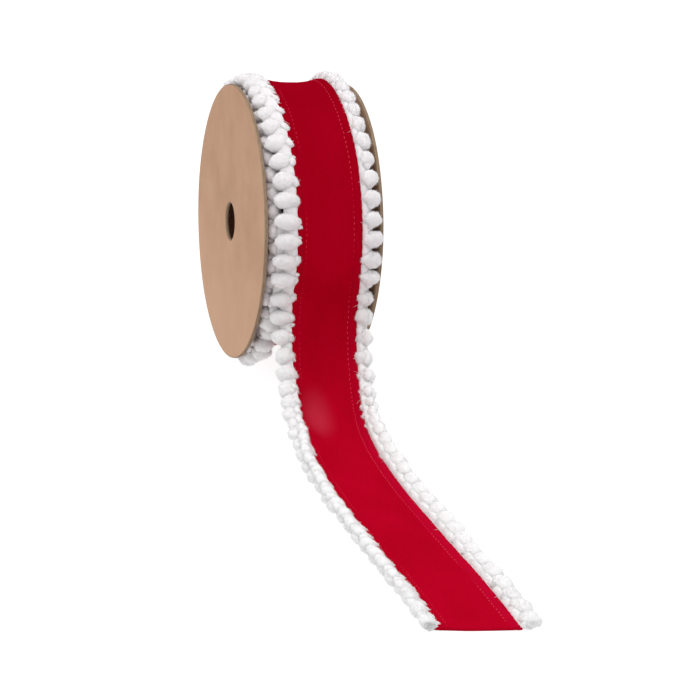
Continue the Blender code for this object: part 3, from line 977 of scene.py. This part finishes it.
def weaveTape(name, side):
    random.seed(41 if side < 0 else 42)
    profile = tape["profile"]
    wide = tape["wideLeft"] if side < 0 else tape["wideRight"]
    bm = bmesh.new()
    start = lineStart + 4 * mm
    length = ribbon["looseLength"] + side * ribbon["endSlant"] - start - 0.5 * mm
    rows = int(length / tape["rowStep"])
    bmesh.ops.create_grid(bm, x_segments=len(profile) - 1, y_segments=rows, size=0.5)
    bmesh.ops.solidify(bm, geom=bm.faces[:], thickness=-0.1)
    top = max(vert.co.z for vert in bm.verts)
    markFluffy(bm, above=top - 0.02)
    for vert in bm.verts:
        share, over, under = profile[round((vert.co.x + 0.5) * (len(profile) - 1))]
        upper = vert.co.z > top - 0.05
        distance = start + (vert.co.y + 0.5) * length
        uneven = noise.noise(Vector((share * 2, distance * 260, side))) * 0.5 * mm
        knit = tape["knit"] * sin(distance / tape["knitPitch"] * pi)
        width = readTable(list(zip(tape["widens"], wide)), distance)[0]
        vert.co.x = side * (halfVelvet - tape["under"] + share * width + uneven * share)
        vert.co.y = distance
        full = readTable(list(zip(tape["fills"], tape["crown"][side > 0])), distance)[0]
        crown = full * sin(0.75 * pi * share ** 1.5)
        vert.co.z = over * mm + crown + knit + uneven * 0.5 if upper else under * mm
    bmesh.ops.recalc_face_normals(bm, faces=bm.faces)
    woven = len(bm.faces)
    ridgeTable = [(where, *sizes) for where, sizes in zip(tape["grows"], tape["ridges"][side])]
    small, large = tape["fills"]
    few, many = tape["teeth"]
    toothTable = ((small, few, 1.0, 0.1), (large, many, tape["looseTooth"], 0.7))
    for stop in rootStops(side):
        out, *halves, rise = readTable(ridgeTable, stop)
        halves = [half * random.uniform(0.9, 1.1) for half in halves]
        addRidge(bm, side, out + random.uniform(-0.5, 0.5) * mm, stop + random.uniform(-0.7, 0.7) * mm,
                 halves, rise, random.uniform(-0.2, 0.4))
        if side < 0 and stop > tape["betweenFrom"]:
            halves = [half * random.uniform(0.74, 0.86) for half in halves]
            addRidge(bm, side, out + random.uniform(-0.2, 0.8) * mm, stop + random.uniform(5.5, 6.9) * mm,
                     halves, rise, random.uniform(-0.2, 0.4))
        if side < 0:
            teeth, larger, lean = readTable(toothTable, stop)
            for k in range(int(teeth + random.random())):
                size = random.uniform(0.65, 1.3) * larger
                spot = min(stop + random.uniform(-5.5, 5.5) * mm, ribbon["looseLength"] - 8 * mm)
                addRidge(bm, side, random.uniform(-0.2, 0.8) * mm / larger + 1.5 * mm * (larger - 1), spot,
                         [half * size for half in tape["tooth"]], 0.8 * mm, lean + random.uniform(-0.3, 0.4), 1)
    markFluffy(bm, fromFace=woven)
    cut = ribbon["looseLength"] + side * ribbon["endSlant"]
    for vert in bm.verts:
        vert.co.y = min(vert.co.y, cut + random.uniform(-0.4, 0.2) * mm)
    windOn(bm)
    piece = finishPiece(name, bm, whiteYarn)
    fluffUp(piece, tape["density"], tape["fibre"], pompom["fibreWide"], 0.9, 15)


strays = {
    # thread ends left over the velvet's edges: side, along, length, slant
    "ends": (
        (1, -92, 3.4, 0.5), (1, -38, 2.4, -0.4), (1, 9, 3.6, 0.7), (1, 52, 3.0, -0.6), (1, 71, 4.0, 0.9),
        (1, 148, 2.6, 0.4), (1, 236, 3.2, -0.5), (1, 312, 2.8, 0.6), (-1, -98, 3.0, 0.6), (-1, -61, 3.4, -0.3),
        (-1, -22, 2.6, 0.8), (-1, 31, 3.2, -0.7), (-1, 66, 3.8, 0.5), (-1, 121, 2.8, 0.9), (-1, 203, 3.4, 0.3),
        (-1, 287, 3.0, 0.8), (1, -61, 2.2, 0.2), (-1, 44, 2.2, 0.2),
    ),
    "thick": 0.28 * mm,
    "out": 1.0 * mm,                # they start this far out from the velvet's edge
    "lift": 0.5 * mm,
}


def layStrays():
    bm = bmesh.new()
    for side, along, length, slant in strays["ends"]:
        before = len(bm.verts)
        bmesh.ops.create_cone(bm, cap_ends=True, segments=5, radius1=0.5, radius2=0.18, depth=1.0)
        bm.verts.ensure_lookup_table()
        for vert in bm.verts[before:]:
            x, y, z = vert.co
            inward = (z + 0.5) * length * mm
            vert.co = (side * (halfVelvet + strays["out"] - inward),
                       along * mm + side * y * strays["thick"] + slant * inward,
                       ribbon["thick"] / 2 + strays["lift"] + x * strays["thick"])
    bmesh.ops.recalc_face_normals(bm, faces=bm.faces)
    windOn(bm)
    piece = finishPiece("threadEnds", bm, whiteYarn)


layStrays()
weaveTape("tapeLeft", -1)
weaveTape("tapeRight", 1)
print("tape woven")


# floor, light and camera

floorMesh = bmesh.new()
bmesh.ops.create_grid(floorMesh, x_segments=1, y_segments=1, size=6.0)
floorShape = bpy.data.meshes.new("floor")
floorMesh.to_mesh(floorShape)
floorMesh.free()
floor = bpy.data.objects.new("floor", floorShape)
bpy.context.scene.collection.objects.link(floor)
paleFloor = Nodes("paleFloor")
floorShape.materials.append(paleFloor.finish(Base_Color=(0.18, 0.18, 0.18, 1.0), Roughness=1.0,
                                              Specular_IOR_Level=0.0, Emission_Color=(1.0, 1.0, 1.0, 1.0),
                                              Emission_Strength=0.92))

lights = (
    # name, place, size, power
    ("topLight", (-0.1, -0.1, 2.0), 2.4, 37.0),
    ("keyLight", (-1.2, -1.4, 1.6), 1.8, 5.0),
)
for name, place, size, power in lights:
    lamp = bpy.data.lights.new(name, "AREA")
    lamp.size = size
    lamp.energy = power
    holder = bpy.data.objects.new(name, lamp)
    holder.location = place
    holder.rotation_euler = (axle - Vector(place)).to_track_quat("-Z", "Y").to_euler()
    bpy.context.scene.collection.objects.link(holder)

world = bpy.data.worlds.new("studio")
bpy.context.scene.world = world
world.use_nodes = True
world.node_tree.nodes["Background"].inputs["Color"].default_value = (1.0, 1.0, 1.0, 1.0)
world.node_tree.nodes["Background"].inputs["Strength"].default_value = 0.72

view = {
    "azimuth": radians(-17.458),    # left of straight ahead
    "elevation": radians(21.195),
    "roll": radians(4.902),
    "distance": 1.8,
    "aim": (0.03278, -0.03763, 0.01179),        # from the table under the axle
    "lens": 159.48,
}


def placeCamera():
    facing = Vector((-sin(view["azimuth"]) * cos(view["elevation"]),
                     cos(view["azimuth"]) * cos(view["elevation"]), -sin(view["elevation"])))
    level = facing.cross(Vector((0, 0, 1))).normalized()
    upright = level.cross(facing)
    right = level * cos(view["roll"]) + upright * sin(view["roll"])
    up = right.cross(facing)
    aim = Vector(view["aim"]) + Vector((0, axle.y, 0))
    data = bpy.data.cameras.new("camera")
    data.sensor_width = 36.0
    data.lens = view["lens"]
    data.clip_end = 20.0
    camera = bpy.data.objects.new("camera", data)
    turned = Matrix((right, up, -facing)).transposed().to_4x4()
    turned.translation = aim - facing * view["distance"]
    camera.matrix_world = turned
    bpy.context.scene.collection.objects.link(camera)
    bpy.context.scene.camera = camera


placeCamera()
bpy.context.scene.view_settings.view_transform = "Standard"
print("stage set")
